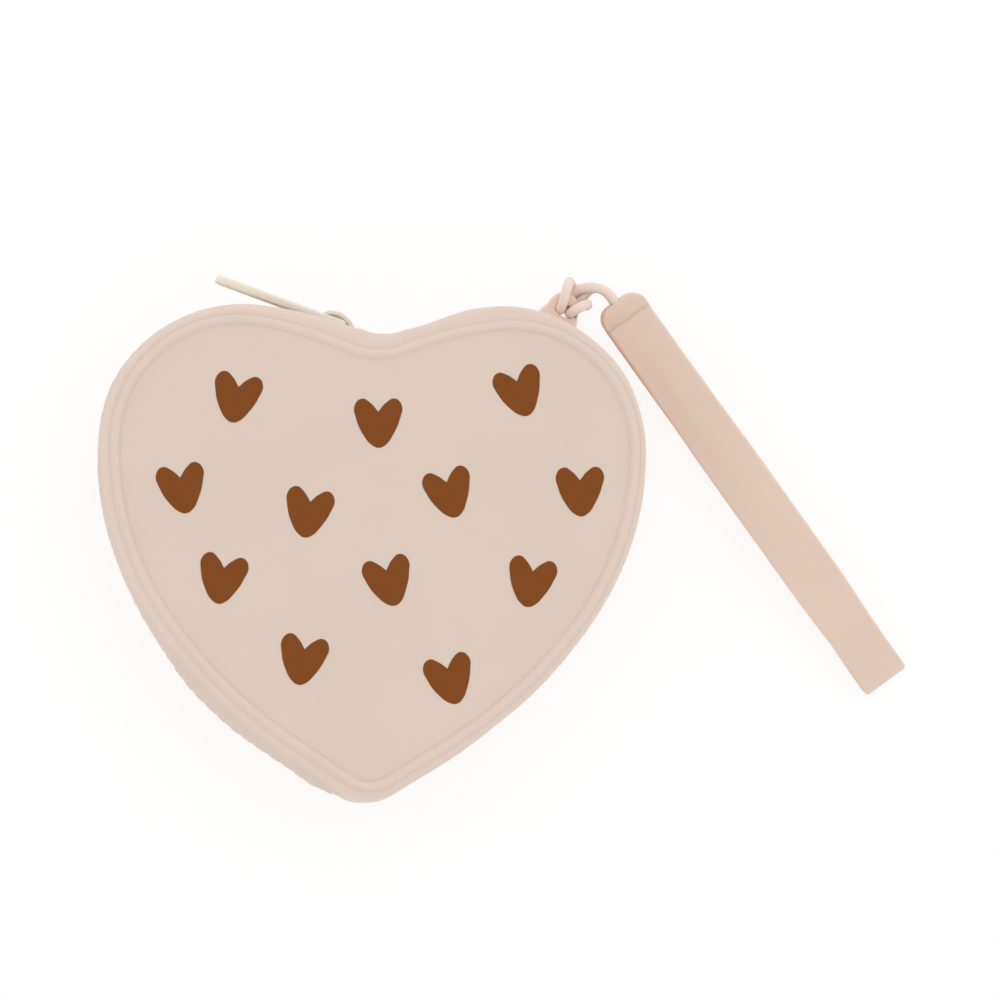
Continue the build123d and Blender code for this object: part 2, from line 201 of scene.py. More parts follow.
# %% A node group for the silicone skin
skin = bpy.data.node_groups.new("silicone_skin", "ShaderNodeTree")
for socket, kind in (("Place", "Vector"), ("Tint", "Color"), ("Grain", "Float")):
    skin.interface.new_socket(socket, in_out="INPUT", socket_type="NodeSocket" + kind)
for socket, kind in (("Color", "Color"), ("Roughness", "Float"), ("Normal", "Vector")):
    skin.interface.new_socket(socket, in_out="OUTPUT", socket_type="NodeSocket" + kind)
inlet = skin.nodes.new("NodeGroupInput")
outlet = skin.nodes.new("NodeGroupOutput")
DUST = paint(240, 234, 228)


def node(tree, kind, links=(), **settings):
    """Adds a node, sets its values and links its inputs."""
    made = tree.nodes.new("ShaderNode" + kind)
    for key, value in settings.items():
        if key.startswith("in_"):
            made.inputs[key[3:]].default_value = value
        else:
            setattr(made, key, value)
    for name, source in dict(links).items():
        tree.links.new(source, made.inputs[name])
    return made


def remap(tree, value, low, high, start=0.0, end=1.0):
    """A value that goes from low to high while its source goes from start to end."""
    made = node(tree, "MapRange", {"Value": value})
    for name, number in (("From Min", start), ("From Max", end), ("To Min", low), ("To Max", high)):
        made.inputs[name].default_value = number
    return made.outputs["Result"]


place = inlet.outputs["Place"]
cloud = node(skin, "TexNoise", {"Vector": place}, in_Scale=38.0, in_Detail=3.0)
cloud_tone = remap(skin, cloud.outputs["Fac"], 0.972, 1.0, start=0.3, end=0.7)
pale = node(skin, "MixRGB", {"Color1": inlet.outputs["Tint"], "Color2": cloud_tone},
            blend_type="MULTIPLY", in_Fac=1.0)
dust = node(skin, "TexVoronoi", {"Vector": place}, in_Scale=260.0)
speck = remap(skin, dust.outputs["Distance"], 0.0, 0.35, start=0.035, end=0.02)
dusty = node(skin, "MixRGB", {"Color1": pale.outputs["Color"], "Fac": speck}, in_Color2=DUST)
skin.links.new(dusty.outputs["Color"], outlet.inputs["Color"])
fine = node(skin, "TexNoise", {"Vector": place}, in_Scale=2600.0, in_Detail=2.0)
skin.links.new(remap(skin, fine.outputs["Fac"], 0.5, 0.72), outlet.inputs["Roughness"])
grain = node(skin, "Bump", {"Height": fine.outputs["Fac"], "Strength": inlet.outputs["Grain"]},
             in_Distance=0.00004)
skin.links.new(grain.outputs["Normal"], outlet.inputs["Normal"])
print("silicone_skin has", len(skin.nodes), "nodes")

# %% [markdown]
# Light goes a millimetre or two into silicone and comes out warmer, which keeps its creases from
# looking grey. Subsurface scattering does that. The thin pieces, which are the tab, the cord and
# the pull, let more light through, so they get more of it than the thick wall of the body.

# %% Silicone materials
def new_material(name):
    """A new material, its node tree and its Principled shader."""
    material = bpy.data.materials.new(name)
    material.use_nodes = True
    return material, material.node_tree, material.node_tree.nodes["Principled BSDF"]


def silicone(name, colour, grain=0.08, translucence=0.25, depth=1.5 * MM):
    """A silicone material, patterned by the stored rest place."""
    material, tree, shader = new_material(name)
    source = node(tree, "Attribute", attribute_name="rest_place").outputs["Vector"]
    group = node(tree, "Group", node_tree=skin)
    tree.links.new(source, group.inputs["Place"])
    group.inputs["Tint"].default_value = colour
    group.inputs["Grain"].default_value = grain
    tree.links.new(group.outputs["Color"], shader.inputs["Base Color"])
    tree.links.new(group.outputs["Roughness"], shader.inputs["Roughness"])
    tree.links.new(group.outputs["Normal"], shader.inputs["Normal"])
    shader.inputs["Subsurface Weight"].default_value = translucence
    shader.inputs["Subsurface Radius"].default_value = (1.0, 0.55, 0.4)
    shader.inputs["Subsurface Scale"].default_value = depth
    shader.inputs["Specular IOR Level"].default_value = 0.35
    return material


body_silicone = silicone("body_silicone", paint(228, 209, 195))
strap_silicone = silicone("strap_silicone", paint(232, 207, 190))
# The tab's colour is the body's silicone painted lighter, as painted light that offsets the shade the tab
# sits in.
tab_silicone_painted_light = silicone("tab_silicone_painted_light", paint(237, 213, 197), translucence=0.35)
cord_silicone = silicone("cord_silicone", paint(239, 223, 211), translucence=0.4)
pull_silicone = silicone("pull_silicone", paint(235, 224, 211), grain=0.02, translucence=1.0,
                         depth=5 * MM)
print("silicone materials:", [m.name for m in bpy.data.materials if "silicone" in m.name])

# %% [markdown]
# The zip's tape is woven cloth. Its weave is two crossed waves on the tape's own UV map, so that
# it runs along the tape round every bend. The crossings are both darker and lower than the
# threads, and a little sheen stands for the fuzz of the yarn.

# %% Woven tape
tape_cloth, tree, shader = new_material("tape_cloth")
uv = node(tree, "UVMap", uv_map="weave").outputs["UV"]
weft = node(tree, "TexWave", {"Vector": uv}, bands_direction="X", in_Scale=520.0)
warp = node(tree, "TexWave", {"Vector": uv}, bands_direction="Y", in_Scale=620.0)
threads = node(tree, "Math", {0: weft.outputs["Fac"], 1: warp.outputs["Fac"]}, operation="MULTIPLY")
tone = node(tree, "MixRGB", {"Fac": threads.outputs[0]}, in_Color1=paint(203, 184, 168),
            in_Color2=paint(228, 213, 199))
lift = node(tree, "Bump", {"Height": threads.outputs[0]}, in_Distance=0.00012, in_Strength=0.7)
tree.links.new(tone.outputs["Color"], shader.inputs["Base Color"])
tree.links.new(lift.outputs["Normal"], shader.inputs["Normal"])
shader.inputs["Roughness"].default_value = 0.85
shader.inputs["Sheen Weight"].default_value = 0.25
print("tape_cloth has", len(tree.nodes), "nodes")

# %% [markdown]
# Moulded teeth, sewing thread, enamelled metal, the spring's tan, which is painted shade, and
# printing ink have little in common but this: seen close, none has one even tone or one even gloss.
# A fine noise that moves the colour, the roughness and the surface together gives each that, at its
# own scale. CAD nodes read it in Object coordinates. Pieces made here read the stored rest place, as
# they may bend.

# %% Teeth, thread, enamel and ink
def speckled(name, dark, light, roughness, scale, bump, stored_place=False, coat=0.0):
    """A finish whose tone, gloss and surface all follow one fine noise."""
    material, tree, shader = new_material(name)
    if stored_place:
        source = node(tree, "Attribute", attribute_name="rest_place").outputs["Vector"]
    else:
        source = node(tree, "TexCoord").outputs["Object"]
    noise = node(tree, "TexNoise", {"Vector": source}, in_Scale=scale, in_Detail=4.0)
    mixed = node(tree, "MixRGB", {"Fac": noise.outputs["Fac"]}, in_Color1=dark, in_Color2=light)
    bumped = node(tree, "Bump", {"Height": noise.outputs["Fac"]}, in_Distance=bump, in_Strength=0.5)
    gloss = remap(tree, noise.outputs["Fac"], roughness - GLOSS_SPREAD, roughness + GLOSS_SPREAD)
    tree.links.new(mixed.outputs["Color"], shader.inputs["Base Color"])
    tree.links.new(bumped.outputs["Normal"], shader.inputs["Normal"])
    tree.links.new(gloss, shader.inputs["Roughness"])
    shader.inputs["Coat Weight"].default_value = coat
    shader.inputs["Coat Roughness"].default_value = 0.25
    return material


GLOSS_SPREAD = 0.08
TOOTH_TONES = (paint(216, 201, 186), paint(230, 216, 202))
tooth_plastic = speckled("tooth_plastic", *TOOTH_TONES, 0.42, 900, 0.00002)
front_tooth_plastic = speckled("front_tooth_plastic", *TOOTH_TONES, 0.42, 900, 0.00002, stored_place=True)
thread_cotton = speckled("thread_cotton", paint(214, 197, 182), paint(234, 221, 208), 0.8, 3200, 0.00008,
                         stored_place=True)
slider_enamel = speckled("enamel", paint(225, 215, 202), paint(233, 224, 212), 0.38, 420, 0.00001,
                         coat=0.3)
bail_enamel = speckled("bail_enamel", paint(226, 214, 201), paint(236, 226, 214), 0.36, 420, 0.00001,
                       stored_place=True, coat=0.3)
# The spring's dark tan is painted shade: it stands for the shade under the bail's arch.
spring_painted_shade = speckled("spring_painted_shade", paint(196, 166, 130), paint(212, 184, 150), 0.45, 600, 0.00001,
                        stored_place=True)
heart_ink = speckled("heart_ink", paint(125, 65, 8), paint(133, 73, 20), 0.6, 700, 0.00001,
                     stored_place=True)
heart_ink.node_tree.nodes["Principled BSDF"].inputs["Specular IOR Level"].default_value = 0.2
print("materials:", len(bpy.data.materials))

# %% [markdown]
# ## Cord
# The wrist strap hangs from a tab by a short loop of cord, tied in a cow hitch: both legs go
# through the tab's hole and over their own loop. Its line is one smooth spline with the route's
# points as control points, and the round bevel gives it its thickness. A knot tied by simulation
# would never settle this tight, so the route is given point by point.

# %% The cord's line
CORD_WIDTH = 2.0
cord_route = [
    (50.44, 49.72, 13.17), (48.25, 53.05, 13.60), (46.55, 54.85, 13.80), (44.30, 55.50, 13.75),
    (41.75, 55.30, 13.30), (39.85, 54.25, 11.80), (37.50, 50.75, 11.60), (37.50, 50.75, 16.40),
    (38.95, 56.45, 16.50), (39.65, 56.55, 8.90), (43.10, 51.75, 8.90), (42.85, 52.05, 16.50),
    (39.32, 50.05, 16.40), (39.32, 50.05, 11.60), (41.60, 52.95, 11.60), (42.75, 54.50, 11.45),
    (44.30, 55.65, 11.45), (46.35, 55.15, 11.50), (48.10, 53.40, 11.30), (50.29, 49.92, 10.95)]
cord_curve = smooth_line("cord_line", [(x * MM, y * MM, z * MM) for x, y, z in cord_route], 16)
cord_path = [tuple(vert.co) for vert in mesh_of(cord_curve).vertices]
print("cord route:", len(cord_route), "points, line:", len(cord_path), "points")

# %% [markdown]
# The same curve now gets its round section, and becomes the mesh that shows. Its near end turns
# with the knot and its far end lifts with the strap.

# %% Cord
cord_curve.bevel_depth = CORD_WIDTH / 2 * MM
cord_curve.bevel_resolution = 6
cord_curve.use_fill_caps = True
bm = bmesh.new()
bm.from_mesh(mesh_of(cord_curve))
bmesh.ops.remove_doubles(bm, verts=bm.verts, dist=1e-6)
bmesh.ops.recalc_face_normals(bm, faces=bm.faces)
bmesh.ops.scale(bm, vec=(1 / MM, 1 / MM, 1 / MM), verts=bm.verts)
cord = finished("cord", bm, cord_silicone)
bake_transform(cord)
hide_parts("strap_cord")

# %% [markdown]
# ## The outline
# Both halves of the body follow the raised ring on the front. It is a heart of five arcs and a
# straight flank a side, walked here step by step. The left side has the zip, so it gets closer
# steps than the plain right side. Each step keeps its place, the way out of the heart, its side
# and how far along it is, and everything on the wall is placed by those.

# %% Walk round the heart
CLEFT = 40.0
# each arc: its radius, and the heading that it turns to, in degrees
RING_ARCS = ((15.0, 22.8), (72.7, 8.1), (24.8, -88.9), (58.9, -125.8), (96.2, -147.3))
TIP_RADIUS = 6.6
RIGHT_SPACING = 1.0
LEFT_SPACING = 0.42


def walk_half(spacing):
    """Steps from the cleft to the tip, as (place, heading, distance walked), on the right side."""
    place, heading, walked, steps = Vector((0, CLEFT)), 0.0, 0.0, []
    for radius, new_heading in RING_ARCS:
        bend = 1 if new_heading > heading else -1
        centre = place + ahead(heading + 90) * radius * bend
        length = radians(abs(new_heading - heading)) * radius
        count = max(2, round(length / spacing))
        for number in range(count):
            now = heading + (new_heading - heading) * number / count
            spot = centre - ahead(now + 90) * radius * bend
            steps.append((spot, now, walked + length * number / count))
        place = centre - ahead(new_heading + 90) * radius * bend
        heading, walked = new_heading, walked + length
    flank = (-TIP_RADIUS * sin(radians(heading)) - place.x) / cos(radians(heading))
    count = round(flank / spacing)
    for number in range(count):
        spot = place + ahead(heading) * flank * number / count
        steps.append((spot, heading, walked + flank * number / count))
    place, walked = place + ahead(heading) * flank, walked + flank
    centre = place + ahead(heading - 90) * TIP_RADIUS
    length = radians(heading + 180) * TIP_RADIUS
    count = round(length / spacing)
    for number in range(count + 1):
        now = heading + (-180 - heading) * number / count
        steps.append((centre + ahead(now + 90) * TIP_RADIUS, now, walked + length * number / count))
    return steps


right_steps = [(spot, ahead(heading + 90), 1, walked) for spot, heading, walked in walk_half(RIGHT_SPACING)]
left_steps = [(Vector((-spot.x, spot.y)), ahead(90 - heading), -1, walked)
              for spot, heading, walked in walk_half(LEFT_SPACING)]
outline = right_steps + left_steps[-2:0:-1]
HALF_LENGTH = right_steps[-1][3]
print("steps round the heart:", len(outline), "half length, mm:", round(HALF_LENGTH, 1))

# %% [markdown]
# ## How far the wall stands out
# A soft purse is never an exact offset of its ring. The tables give, at a few places along each
# side, how far outside the ring the wall stands at its top, at the lip in front of the zip, at
# the lip behind it and low down, and where the zip's teeth run. Both lips swell beside the
# slider, and on the lower left the front lip is squeezed out, which is the bulge the photograph
# shows. A row stands where the outline changes, and its distances were set by laying the
# render's outline over the photograph's. Under the lips, out of sight, they are a guess.

# %% Wall tables
TOP, FRONT_LIP, BACK_LIP, LOW, ZIP_LINE = range(5)
# each row: how far along the side, then those five distances outside the ring
RIGHT_WALL = (
    (0, 4.4, 4.25, 3.6, 3.4, 1.8), (7, 3.85, 3.85, 3.4, 3.2, 1.65), (11, 3.55, 3.6, 3.3, 3.1, 1.6),
    (15, 3.8, 3.85, 3.6, 3.3, 1.5), (20, 4.3, 4.35, 4.0, 3.6, 1.3), (27, 4.1, 4.2, 4.0, 3.6, 1.0),
    (34, 3.6, 3.75, 3.6, 3.3, 0.8), (43.5, 2.9, 3.0, 2.9, 2.6, 0.6), (52, 2.75, 2.85, 2.8, 2.5, 0.5),
    (60, 2.4, 2.6, 2.6, 2.4, 0.4), (80, 2.55, 2.7, 2.7, 2.5, 0.4), (99, 2.35, 2.4, 2.45, 2.3, 0.4),
    (120, 2.6, 2.6, 2.5, 2.3, 0.4), (130, 2.5, 2.5, 2.4, 2.2, 0.4), (142, 2.9, 2.8, 2.5, 2.3, 0.4),
    (152, 2.85, 2.8, 2.4, 2.1, 0.4), (157.8, 2.95, 2.8, 2.3, 2.0, 0.4))
LEFT_WALL = (
    (0, 4.4, 4.25, 3.6, 3.4, 1.8), (3.3, 4.65, 5.05, 4.3, 3.7, 1.75), (5.5, 4.6, 4.95, 4.4, 3.8, 1.7),
    (7.5, 4.4, 4.65, 4.6, 3.8, 1.65), (9.5, 4.3, 4.5, 5.3, 3.9, 1.65), (11.5, 4.2, 4.4, 5.2, 3.9, 1.6),
    (14, 4.0, 4.25, 4.3, 3.6, 1.55), (17, 3.8, 4.15, 3.9, 3.3, 1.45), (22, 3.35, 3.9, 3.6, 3.0, 1.25),
    (27, 3.0, 3.65, 3.4, 2.8, 1.0), (39, 2.7, 3.25, 3.0, 2.6, 0.7), (48, 2.6, 3.2, 2.9, 2.5, 0.55),
    (56, 2.55, 3.3, 2.95, 2.55, 0.45), (64, 2.45, 3.15, 2.75, 2.5, 0.4), (72, 2.4, 3.3, 3.0, 2.8, 0.4),
    (80, 2.35, 3.3, 2.95, 2.85, 0.4), (87.5, 2.3, 3.2, 2.8, 2.75, 0.4), (95, 2.3, 3.45, 2.85, 2.75, 0.4),
    (103, 2.35, 3.85, 2.9, 2.75, 0.4), (110, 2.4, 4.3, 2.95, 2.7, 0.4), (117, 2.5, 5.0, 3.3, 2.8, 0.4),
    (124, 2.55, 5.1, 3.4, 2.8, 0.4), (129, 2.55, 5.05, 3.3, 2.7, 0.4), (135, 2.55, 4.75, 3.1, 2.6, 0.4),
    (142, 2.55, 4.6, 3.0, 2.5, 0.4), (148, 2.6, 4.75, 3.0, 2.4, 0.4), (152.5, 2.7, 3.85, 2.7, 2.2, 0.4),
    (155.5, 2.85, 3.2, 2.4, 2.0, 0.4), (157.8, 2.95, 2.8, 2.3, 2.0, 0.4))
print("rows for the right wall:", len(RIGHT_WALL), "and for the left:", len(LEFT_WALL))

# %% [markdown]
# Straight lines between the rows would leave a corner at each, and a corner shows at once on a
# soft rim. A cubic through the two rows before and the two rows after a place has none.

# %% A smooth wall through the tables
def wall_at(side, along):
    """The five wall values at a place along one side, from a smooth curve through its table."""
    table = RIGHT_WALL if side == 1 else LEFT_WALL
    row = max(i for i in range(len(table) - 1) if table[i][0] <= along + 1e-6)
    rows = [table[max(0, row - 1)], table[row], table[row + 1], table[min(len(table) - 1, row + 2)]]
    span = rows[2][0] - rows[1][0]
    t = (along - rows[1][0]) / span
    values = []
    for column in range(1, 6):
        before, start, end, after = (row[column] for row in rows)
        slope_in = (end - before) / max(rows[2][0] - rows[0][0], 1e-6) * span
        slope_out = (after - start) / max(rows[3][0] - rows[1][0], 1e-6) * span
        values.append((2 * t ** 3 - 3 * t ** 2 + 1) * start + (t ** 3 - 2 * t ** 2 + t) * slope_in
                      + (3 * t ** 2 - 2 * t ** 3) * end + (t ** 3 - t ** 2) * slope_out)
    return values


SLIT_OPENS = (1.6, 3.4)
SLIT_CLOSES = (HALF_LENGTH - 4.6, HALF_LENGTH - 2.8)


def slit_at(side, along):
    """1 where the wall is slit for the zip, 0 where it is whole."""
    if side == 1:
        return 0.0
    return smooth_step(*SLIT_OPENS, along) * (1 - smooth_step(*SLIT_CLOSES, along))


walls = [wall_at(side, along) for _, _, side, along in outline]
slits = [slit_at(side, along) for _, _, side, along in outline]
print("widest front lip, mm:", round(max(wall[FRONT_LIP] for wall in walls), 2))

# %% [markdown]
# ## Body
# Each half of the body is one closed shell. It starts as the ring's outline and grows by
# extruding that loop of edges again and again: each new loop is put at its own distance outside
# the ring and its own height. Towards the middle of a face the loops shrink to a point. The
# same list of loops works all round, because the heights near the zip follow the slit.

# %% Growing a shell from loops
MID = 14.0
SLIT_HALF = 4.3
HEART_MIDDLE = Vector((0, 2))


def grow_shell(loops):
    """A closed shell from loops. A loop is a shrink, and a distance and a height for each step."""
    bm = bmesh.new()
    number = bm.verts.layers.int.new("step")

    def put(verts, loop):
        for vert in verts:
            step = vert[number]
            place, way_out = outline[step][0], outline[step][1]
            shrink, distance, height = loop
            spot = place + way_out * distance(step)
            spot = HEART_MIDDLE + (spot - HEART_MIDDLE) * shrink
            vert.co = (spot.x, spot.y, height(step))

    for step in range(len(outline)):
        bm.verts.new()[number] = step
    bm.verts.ensure_lookup_table()
    edges = [bm.edges.new((bm.verts[step - 1], bm.verts[step])) for step in range(len(outline))]
    put(bm.verts, loops[0])
    first = list(bm.verts)
    for loop in loops[1:]:
        made = bmesh.ops.extrude_edge_only(bm, edges=edges)["geom"]
        edges, last = far_edges(made), verts_in(made)
        put(last, loop)
    for ring, loop in ((first, loops[0]), (last, loops[-1])):
        bmesh.ops.pointmerge(bm, verts=ring, merge_co=(HEART_MIDDLE.x, HEART_MIDDLE.y, loop[2](0)))
    bmesh.ops.recalc_face_normals(bm, faces=bm.faces)
    return bm


def even(shrink, distance, height):
    """A loop with the same distance and height all round."""
    return (shrink, lambda step: distance, lambda step: height)


SHRINKS = (0.02, 0.08, 0.16, 0.25, 0.34, 0.43, 0.52, 0.61, 0.7, 0.78, 0.85, 0.91, 0.96)
print("vertices in a loop:", len(outline), "and loops across a face:", len(SHRINKS))

# %% [markdown]
# Each stitch pulls its holes into the lip. All along the zip that is a shallow dimple. Where the
# lip is squeezed out on the lower left, the thread cuts deeper, and the rim gets a row of small
# notches. One list says how much of a dimple each step has, and one where the notches are deep.

# %% Dimples at the stitches
STITCH_PITCH = 3.05
STITCH_START = 6.1
DIMPLE_WIDTH = 0.34
NOTCHES_START = (107, 112)
NOTCHES_END = (146, 150)
swell = [smooth_step(*NOTCHES_START, along) * (1 - smooth_step(*NOTCHES_END, along)) if side == -1 else 0.0
         for _, _, side, along in outline]


def dimple_at(along):
    """1 at the hole between two stitches, falling to 0 around it."""
    from_hole = (((along - STITCH_START) / STITCH_PITCH + 0.5) % 1 - 0.5) * STITCH_PITCH
    return exp(-(from_hole / DIMPLE_WIDTH) ** 2)


hole_share = [slit * dimple_at(along) for (_, _, _, along), slit in zip(outline, slits)]
print("steps inside a dimple:", sum(share > 0.5 for share in hole_share))

# %% [markdown]
# The front half starts in the middle of its face. On the way out come the ring, which is a round
# bead with a crease on each side, the shoulder, the wall, and the lip that the zip is sewn to.
# Then the loops turn under the lip and go back along the inside, 2 mm in. Three small functions
# write such loops: heights stretch, the wall goes from its top to the lip, the shoulder is round.

# %% Loops of the front
FACE = 27.45
CREST = 28.0
# each point of the bead's section: its distance from the ring's line, and its height
BEAD = ((-1.5, FACE), (-1.22, FACE - 0.02), (-1.02, FACE - 0.1), (-0.9, FACE - 0.12),
        (-0.78, FACE - 0.02), (-0.58, FACE + 0.22), (-0.3, CREST - 0.09), (0.0, CREST),
        (0.3, CREST - 0.02), (0.55, CREST - 0.12), (0.8, FACE + 0.18), (0.98, FACE - 0.04),
        (1.1, FACE - 0.12), (1.2, FACE - 0.11), (1.34, FACE - 0.06), (1.5, FACE - 0.1))
SHOULDER_LOW = 25.2
SHOULDER_TOP = 1.5
STRETCH_BELOW = 23
THICK = 2.0


def front_height(z):
    """Heights under the shoulder stretch down to the parting line where the wall is whole."""
    def height(step):
        edge = MID + 0.01 + SLIT_HALF * slits[step]
        high = STRETCH_BELOW
        return z if z >= high else high - (high - z) * (high - edge) / (high - MID - SLIT_HALF)
    return height


def front_wall(z, lip_share, under=0.0, groove=0.0, notch=0.0):
    """A loop on the wall, from its top to the lip by lip_share. The rest presses it inwards.

    under is the turn beneath the lip, groove the channel of the stitches, and notch their pull.
    """
    def distance(step):
        top, lip = walls[step][TOP], walls[step][FRONT_LIP]
        turned = under * slits[step] if under < 1 else under
        pressed = groove * slits[step] + (groove * 1.6 + notch * swell[step]) * hole_share[step]
        return top + (lip - top) * lip_share - turned - pressed
    return (1.0, distance, front_height(z))


def shoulder(angle):
    """A loop on the rounded shoulder between the ring and the wall."""
    def distance(step):
        reach = walls[step][TOP] - 0.06 - SHOULDER_TOP
        return SHOULDER_TOP + reach * sin(radians(angle))
    height = SHOULDER_LOW + (FACE - 0.1 - SHOULDER_LOW) * cos(radians(angle))
    return (1.0, distance, lambda step: height)


print("loops in the bead:", len(BEAD))

# %% [markdown]
# With those three, the whole half is one list read from the middle of the face to the inside.
# The front bends like a hinge when the purse opens, and the mesh stands for all three CAD pieces
# of the front.

# %% Front half
front_loops = [even(shrink, -1.5, FACE) for shrink in SHRINKS]
front_loops += [even(1.0, distance, height) for distance, height in BEAD]
front_loops += [shoulder(angle) for angle in (18, 34, 50, 66, 80, 90)]
front_loops += [front_wall(24.2, 0.0), front_wall(23.0, 0.15),
                front_wall(22.2, 0.4, notch=0.16), front_wall(21.5, 0.8),
                front_wall(21.0, 1.0, groove=0.02), front_wall(20.65, 1.0, groove=0.1),
                front_wall(20.3, 1.0, groove=0.2), front_wall(19.95, 1.0, groove=0.1, notch=0.3),
                front_wall(19.5, 1.0, groove=0.02, notch=0.45), front_wall(19.0, 1.0, under=0.1, notch=0.5),
                front_wall(18.6, 1.0, under=0.4, notch=0.45), front_wall(18.35, 1.0, under=0.8),
                front_wall(18.3, 1.0, under=1.2), front_wall(18.45, 1.0, under=1.7),
                front_wall(19.0, 1.0, under=THICK), front_wall(21.0, 1.0, under=THICK),
                front_wall(23.0, 0.0, under=THICK)]
front_loops += [(1.0, lambda step: walls[step][TOP] - THICK - 0.3, lambda step: SHOULDER_LOW)]
front_loops += [even(shrink, -1.5, FACE - THICK) for shrink in (1.0,) + SHRINKS[::-2]]
front = finished("front_half", grow_shell(front_loops), body_silicone)
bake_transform(front)
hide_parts("front_shell", "front_fold", "front_flap")

# %% [markdown]
# The back half is made the same way, from its own loops. It is plain and flat, because the purse
# stands on it, and its bottom edge is a wide soft round.

# %% Loops of the back
SHOULDER_BACK = 5.2


def back_height(z):
    """Heights above the low wall stretch up to the parting line where the wall is whole."""
    def height(step):
        edge = MID - 0.01 - SLIT_HALF * slits[step]
        low = SHOULDER_BACK
        return z if z <= low else low + (z - low) * (edge - low) / (MID - SLIT_HALF - low)
    return height


def back_wall(z, lip_share, under=0.0, groove=0.0, inwards=0.0):
    """A loop on the back wall: lip_share goes from the low wall to the lip."""
    def distance(step):
        lip, low = walls[step][BACK_LIP], walls[step][LOW]
        turned = under * slits[step] if under < 1 else under
        pressed = groove * slits[step] + groove * 1.6 * hole_share[step]
        return low + (lip - low) * lip_share - turned - pressed - inwards
    return (1.0, distance, back_height(z))


print("the slit is", 2 * SLIT_HALF, "mm wide, and the back's lip ends at", MID - SLIT_HALF)

# %% [markdown]
# The list runs from the middle of the flat back, round its edge, up the wall to the lip, under
# the lip and down the inside. The whole half moves with the purse.

# %% Back half
back_loops = [even(shrink, -3.0, 0.0) for shrink in SHRINKS]
back_loops += [even(1.0, -2.0, 0.0)]
back_loops += [back_wall(0.0, 0.0, inwards=1.9), back_wall(0.1, 0.0, inwards=1.35),
               back_wall(0.45, 0.0, inwards=0.85), back_wall(1.0, 0.0, inwards=0.5),
               back_wall(1.9, 0.0, inwards=0.22), back_wall(3.0, 0.0, inwards=0.07),
               back_wall(4.2, 0.0), back_wall(5.2, 0.0), back_wall(6.0, 0.35), back_wall(6.6, 0.8),
               back_wall(7.0, 1.0, groove=0.02), back_wall(7.35, 1.0, groove=0.1),
               back_wall(7.7, 1.0, groove=0.2), back_wall(8.05, 1.0, groove=0.1),
               back_wall(8.5, 1.0, groove=0.02), back_wall(9.0, 1.0, under=0.1),
               back_wall(9.4, 1.0, under=0.4), back_wall(9.65, 1.0, under=0.8),
               back_wall(9.7, 1.0, under=1.2), back_wall(9.55, 1.0, under=1.7),
               back_wall(9.0, 1.0, under=THICK), back_wall(7.0, 1.0, under=THICK),
               back_wall(5.2, 0.0, under=THICK), back_wall(2.6, 0.0, under=THICK + 0.3)]
back_loops += [even(shrink, -2.0, THICK) for shrink in (1.0,) + SHRINKS[::-2]]
back_half = finished("back_half", grow_shell(back_loops), body_silicone)
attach(back_half, "purse")
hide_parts("back_shell")

# %% [markdown]
# Where the zip's slit ends at the cleft, the mould has left a pip on the wall. It is a small
# ball, drawn out up the wall and more than half sunk in the silicone, so that little of it shows.

# %% Pip of the mould
PIP_RADIUS = 0.42
PIP_SHAPE = (1, 0.85, 2.2)
PIP_AT = (1.3, 44.28, 21.6)
bm = bmesh.new()
bmesh.ops.create_uvsphere(bm, u_segments=16, v_segments=8, radius=PIP_RADIUS)
bmesh.ops.scale(bm, vec=PIP_SHAPE, verts=bm.verts)
bmesh.ops.translate(bm, vec=PIP_AT, verts=bm.verts)
pip = finished("mould_pip", bm, body_silicone)
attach(pip, "purse")

# %% [markdown]
# ## Stitches
# A row of stitches runs along each lip. One stitch is a short piece of thread that dives into
# the silicone at both ends. It is a circle extruded along a small arch, a few dozen faces, and
# it is copied along the row, because modelling each by hand would look no different.

# %% One stitch
THREAD = 0.62
STITCH_ARCH = ((0.28, 0.34), (0.5, 0.22), (1.44, 0.0), (0.5, -0.22), (0.28, -0.34))
stitch_seed = bmesh.new()
grown = bmesh.ops.create_circle(stitch_seed, segments=6, radius=THREAD / 2)["verts"]
turn_upright = Matrix.Rotation(radians(90), 4, "Y")
bmesh.ops.transform(stitch_seed, matrix=turn_upright, verts=grown)
bmesh.ops.translate(stitch_seed, vec=(-1.5, 0, -0.6), verts=grown)
edges = list(stitch_seed.edges)
for run, rise in STITCH_ARCH:
    made = bmesh.ops.extrude_edge_only(stitch_seed, edges=edges)["geom"]
    edges = far_edges(made)
    bmesh.ops.translate(stitch_seed, vec=(run, 0, rise), verts=verts_in(made))
bmesh.ops.holes_fill(stitch_seed, edges=stitch_seed.edges, sides=8)
bmesh.ops.recalc_face_normals(stitch_seed, faces=stitch_seed.faces)
stitch_mesh = bpy.data.meshes.new("stitch_seed")
stitch_seed.to_mesh(stitch_mesh)
stitch_seed.free()
print("faces in a stitch:", len(stitch_mesh.polygons))

# %% [markdown]
# The row follows the wall: each copy is turned so that it runs along the lip with its arch
# outwards, and is sunk a little into the groove.

# %% Rows of stitches
THREAD_SUNK = 0.22
STITCHES_END = 5.0


def left_spot(along):
    """The place and the way out at a distance along the left side."""
    near = min(left_steps, key=lambda step: abs(step[3] - along))
    return near[0], near[1]


